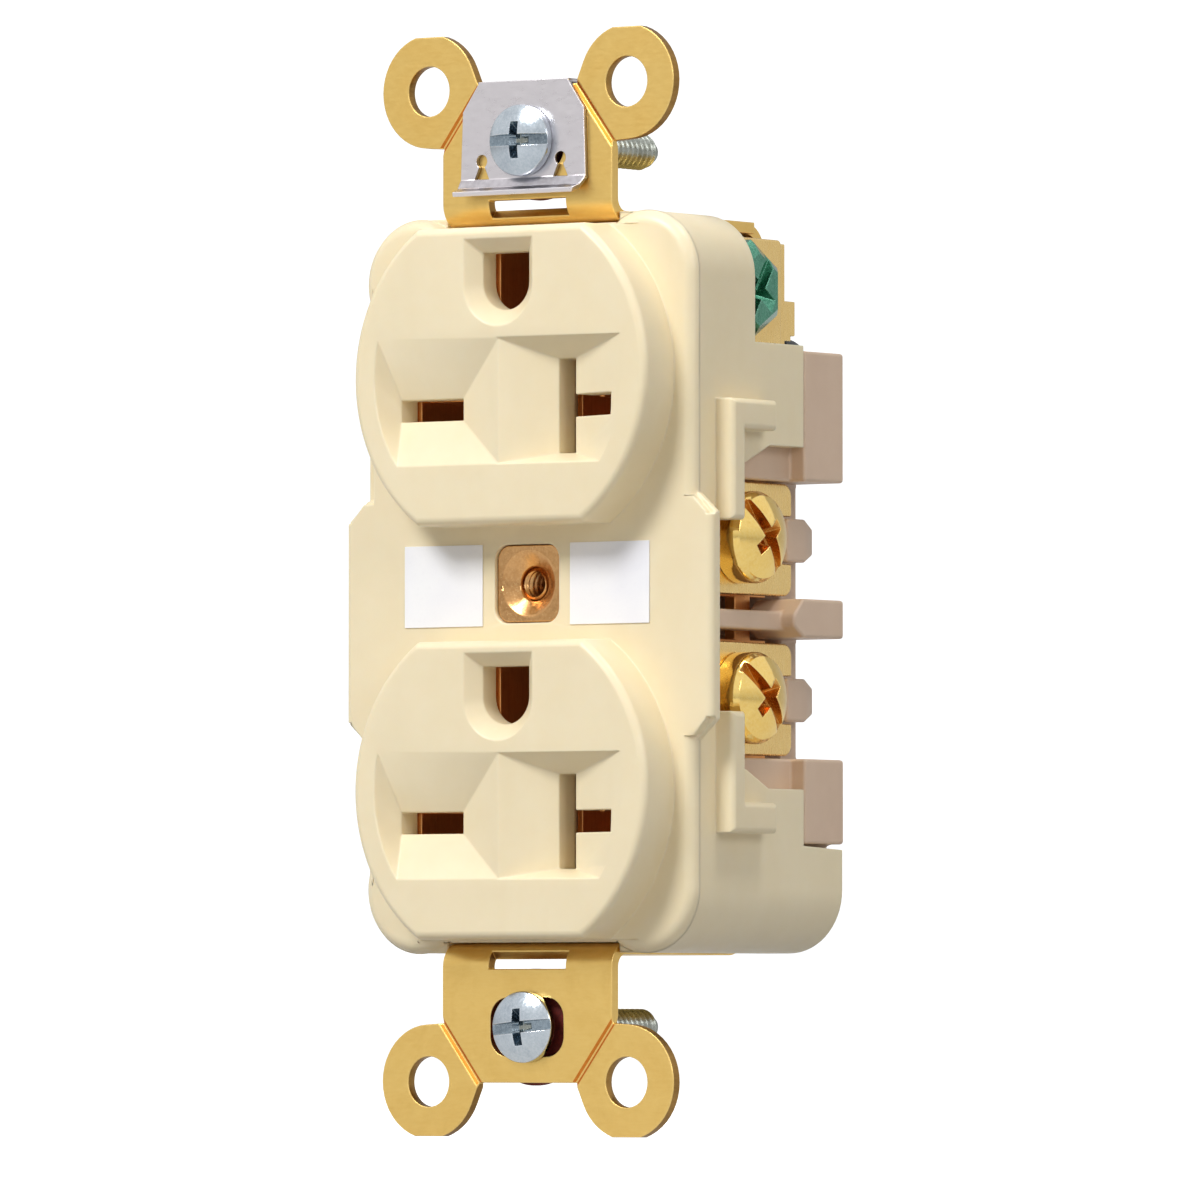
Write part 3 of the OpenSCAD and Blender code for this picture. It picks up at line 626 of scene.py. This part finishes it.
# ---------------------------------------------------------------- build
build_cover()


def base_edge(e):
    """Leaves out the edges that lie under the strap and round the screw holes."""
    def hidden(v):
        x, z = abs(v.co.x), v.co.z
        return x < 6.8 * MM or math.hypot(x - 10.5 * MM, z - 21.2 * MM) < 2.6 * MM
    return not all(hidden(v) for v in e.verts)


simple("back_body", "base_moulding", M["tan"], "root", 0.42, 3, test=base_edge)


def screw_boss(sx, name):
    """Moulded tube of the base round an assembly screw, where the screw crosses the corner pocket."""
    y0, y1, ri, ro = 10.45, 22.75, 1.6, 2.35
    bm = revolve([(ri, y0), (ri, y1), (ro, y1), (ro, y0 + 0.2), (ro - 0.2, y0), (ri, y0)], 56)
    bmesh.ops.remove_doubles(bm, verts=bm.verts, dist=1.0e-6)
    bmesh.ops.recalc_face_normals(bm, faces=bm.faces)
    bm.transform(along((0, 1, 0), (sx * 10.5, 0, 21.2)))
    return done(bm, name, [M["tan"]], "root", [])


screw_boss(1, "base_boss_right")
screw_boss(-1, "base_boss_left")
simple("mounting_strap", "strap_sheet", M["strap"], "root", 0.1, 2, zones=((score_face, M["groove"]), (sheared, M["rim"])))
# cut edges get the darker edge metal; faces turned upward get it too as painted shade
simple("ground_clip", "grounding_clip", M["clip"], "root", 0.06, 2, zones=((lambda f: sheared(f) or f.normal.z > 0.3, M["clip_rim"]),))
for n in ("upper_mount_washer", "lower_mount_washer"):
    simple(n, n + "_fibre", M["fibre"], n, 0.1, 2)
for n in ("left_label", "right_label"):
    simple(n, n + "_sticker", M["label"], "root", 0.03, 2)
for n in ("left_line_contact", "right_line_contact", "upper_ground_contact", "lower_ground_contact"):
    simple(n, n + "_strip", M["contact"], "root", 0.08, 2)
simple("ground_terminal", "earth_tab", M["plate"], "root", 0.1, 2)
simple("ground_clamp", "earth_clamp", M["plate"], "ground_clamp", 0.14, 3)
simple("ground_rivets", "strap_rivets", M["strap"], "root", 0.25, 4)
simple("assembly_screws", "base_screws", M["black"], "root", 0.15, 3)
for n in ("right_upper_clamp", "right_lower_clamp", "left_upper_clamp", "left_lower_clamp"):
    simple(n, n + "_plate", M["plate"], n, 0.16, 3)

TZ = {"upper": 4.3, "lower": -10.8}
ROLL = {("right", "upper"): -51, ("right", "lower"): -45, ("left", "upper"): 15, ("left", "lower"): 70}
for (side, lev), roll in ROLL.items():
    sx = 1 if side == "right" else -1
    nm = side + "_" + lev + "_screw"
    screw(nm + "_threaded", nm, nm, [M["screw"], M["recess"]],
          along((sx, 0, 0), (sx * 16.45, 11.3, TZ[lev]), roll), (4.35, 2.5, 3.7), 1.3, (2.08, 1.65, 0.35), 0.794, 6.8, slot_d=1.35, deep=0.9, soft=0.55, cross=0.5)
for nm, z, y0, roll in (("upper_mount_screw", 41.67, -0.56, 0), ("lower_mount_screw", -41.67, -0.03, 5)):
    screw(nm + "_threaded", nm, nm, [M["zinc"], M["zinc_slot_painted_shade"], M["thread"]],
          along((0, -1, 0), (0, y0, z), roll), (3.375, 0.85, 1.75), 1.05, (1.75, 1.36, 0.7), 0.794, 19.3 - y0, neck=2.75 - y0, lip=0)
screw("ground_screw_threaded", "ground_screw", "ground_screw", [M["green"], M["green"]],
      along((1, 0, 0), (14.1, 14.4, 27.8), 57), (4.75, 2.2, 2.6), 1.45, (2.08, 1.65, 0.35), 0.794, 6.4, hexa=hex_head, slot_d=0.95, cross=0.62)


def build_bushing():
    bm = clean_bm("faceplate_bushing")
    soft_edges(bm, 0.14, 3)
    th = bmesh.new()
    thread_bm(th, 1.62, 1.24, 0.794, 1.28, 14.8, inward=True, taper=0.3)
    th.transform(along((0, 1, 0), (0, 0, 0)))
    me = bpy.data.meshes.new("tmp_th")
    th.to_mesh(me)
    th.free()
    bm.from_mesh(me)
    bpy.data.meshes.remove(me)
    return done(bm, "bushing_threaded", [M["bush"]], "root", ["faceplate_bushing"])


build_bushing()


# ---------------------------------------------------------------- stage
def stage_mat():
    k = Mat("pale_floor")
    f = k.noise(k.coords(), 60, 4, 0.6)
    lp = k.n("ShaderNodeLightPath")
    col = k.mix(k.ramp(f, 0.3, 0.7), (0.86, 0.86, 0.86, 1), (0.845, 0.845, 0.85, 1))
    col = k.mix(lp.outputs["Is Camera Ray"], (0.32, 0.32, 0.32, 1), col)
    seen = k.math("MAXIMUM", lp.outputs["Is Camera Ray"], k.math("MULTIPLY", lp.outputs["Is Glossy Ray"], 0.5))
    return k.finish(col, 0.85, 0.0, bevel=0, Emission_Color=(1.0, 1.0, 1.0, 1.0),
                    Emission_Strength=k.math("MULTIPLY", seen, 0.85))


def sweep():
    bm = bmesh.new()
    z0 = CAD_BOX[0][2] - 0.0002
    az = math.radians(35.428)
    fwd = Vector((-math.sin(az), math.cos(az), 0))
    side = Vector((math.cos(az), math.sin(az), 0))
    pts = [(-3.0, 0.0)]
    R = 0.5
    for i in range(0, 19):
        a = math.radians(90 * i / 18)
        pts.append((1.9 + R * math.sin(a), R * (1 - math.cos(a))))
    pts.append((1.9 + R, 3.0))
    rows = []
    for d, h in pts:
        rows.append([bm.verts.new(fwd * d + side * s + Vector((0, 0, z0 + h))) for s in (-3.5, 3.5)])
    for a, b in zip(rows, rows[1:]):
        bm.faces.new((a[0], a[1], b[1], b[0]))
    me = bpy.data.meshes.new("floor")
    bm.to_mesh(me)
    bm.free()
    for p in me.polygons:
        p.use_smooth = True
    ob = link(me, "floor_sweep", [stage_mat()])
    return ob


sweep()

world = bpy.data.worlds.new("studio")
scene.world = world
world.use_nodes = True
wt = world.node_tree
wt.nodes.clear()
wo = wt.nodes.new("ShaderNodeOutputWorld")
bg = wt.nodes.new("ShaderNodeBackground")
tc = wt.nodes.new("ShaderNodeTexCoord")
sep = wt.nodes.new("ShaderNodeSeparateXYZ")
rp = wt.nodes.new("ShaderNodeValToRGB")
mr = wt.nodes.new("ShaderNodeMapRange")
mr.inputs[1].default_value = -0.3
mr.inputs[2].default_value = 1.0
wt.links.new(tc.outputs["Generated"], sep.inputs[0])
wt.links.new(sep.outputs["Z"], mr.inputs[0])
wt.links.new(mr.outputs[0], rp.inputs[0])
rp.color_ramp.elements[0].color = (0.16, 0.16, 0.165, 1)
rp.color_ramp.elements[1].color = (1.0, 1.0, 1.0, 1)
# what shiny surfaces see: soft boxes with darker gaps between them
lpw = wt.nodes.new("ShaderNodeLightPath")
sm = wt.nodes.new("ShaderNodeMapRange")
sm.inputs[1].default_value = -1.0
sm.inputs[2].default_value = 1.0
wt.links.new(sep.outputs["X"], sm.inputs[0])
bands = wt.nodes.new("ShaderNodeValToRGB")
bands.color_ramp.interpolation = "EASE"
els = bands.color_ramp.elements
els[0].position, els[0].color = 0.0, (0.75, 0.75, 0.77, 1)
els[1].position, els[1].color = 1.0, (0.35, 0.35, 0.36, 1)
for pos, v in ((0.30, 1.2), (0.46, 1.2), (0.54, 0.3), (0.64, 0.35), (0.71, 1.35), (0.88, 1.3), (0.95, 0.3)):
    e = els.new(pos)
    e.color = (v, v, v, 1)
glo = wt.nodes.new("ShaderNodeMix")
glo.data_type = "RGBA"
wt.links.new(lpw.outputs["Is Glossy Ray"], glo.inputs[0])
wt.links.new(rp.outputs[0], glo.inputs[6])
shine = wt.nodes.new("ShaderNodeMix")
shine.data_type = "RGBA"
shine.blend_type = "MULTIPLY"
shine.inputs[0].default_value = 1.0
rp2 = wt.nodes.new("ShaderNodeValToRGB")
rp2.color_ramp.elements[0].color = (0.14, 0.14, 0.14, 1)
rp2.color_ramp.elements[1].color = (1.35, 1.35, 1.35, 1)
for pos, v in ((0.17, 0.45), (0.26, 0.95), (0.4, 1.3)):
    e = rp2.color_ramp.elements.new(pos)
    e.color = (v, v, v, 1)
wt.links.new(mr.outputs[0], rp2.inputs[0])
wt.links.new(rp2.outputs[0], shine.inputs[6])
wt.links.new(bands.outputs[0], shine.inputs[7])
wt.links.new(shine.outputs[2], glo.inputs[7])
wt.links.new(glo.outputs[2], bg.inputs[0])
stren = wt.nodes.new("ShaderNodeMapRange")
stren.inputs[3].default_value = 0.42
stren.inputs[4].default_value = 0.95
wt.links.new(lpw.outputs["Is Glossy Ray"], stren.inputs[0])
wt.links.new(stren.outputs[0], bg.inputs[1])
# past the edge of the backdrop the camera sees plain white
bg_cam = wt.nodes.new("ShaderNodeBackground")
bg_cam.inputs[0].default_value = (1.0, 1.0, 1.0, 1.0)
bg_cam.inputs[1].default_value = 1.0
mixw = wt.nodes.new("ShaderNodeMixShader")
wt.links.new(lpw.outputs["Is Camera Ray"], mixw.inputs[0])
wt.links.new(bg.outputs[0], mixw.inputs[1])
wt.links.new(bg_cam.outputs[0], mixw.inputs[2])
wt.links.new(mixw.outputs[0], wo.inputs[0])


def area(name, loc, target, size, power, size_y=None):
    li = bpy.data.lights.new(name, "AREA")
    li.energy = power
    li.size = size
    if size_y:
        li.shape = "RECTANGLE"
        li.size_y = size_y
    ob = bpy.data.objects.new(name, li)
    scene.collection.objects.link(ob)
    ob.location = loc
    ob.visible_camera = False
    ob.rotation_euler = (Vector(target) - Vector(loc)).to_track_quat("-Z", "Y").to_euler()
    return ob


area("key", (-0.22, -0.82, 0.8), (0, 0, 0), 0.38, 10.6)
area("fill", (0.95, -0.35, 0.4), (0, 0.01, 0), 0.35, 2.2)
area("top", (0.35, 0.0, 0.95), (0, 0, 0), 0.3, 3.2)

# ---------------------------------------------------------------- camera
D, CX, CY, AZ, EL = 1184.5, -6.882, 1.552, math.radians(35.428), math.radians(-1.959)
b = Vector((math.sin(AZ) * math.cos(EL), -math.cos(AZ) * math.cos(EL), math.sin(EL)))
r = Vector((math.cos(AZ), math.sin(AZ), 0))
u = b.cross(r)
cam_d = bpy.data.cameras.new("camera")
cam_d.sensor_width = 36
cam_d.lens = 12603.0 / 1200 * 36
cam_d.clip_start = 0.01
cam_d.clip_end = 20
cam = bpy.data.objects.new("camera", cam_d)
scene.collection.objects.link(cam)
loc = (b * D - r * CX - u * CY) * MM
cam.matrix_world = Matrix(((r.x, u.x, b.x, loc.x), (r.y, u.y, b.y, loc.y), (r.z, u.z, b.z, loc.z), (0, 0, 0, 1)))
scene.camera = cam
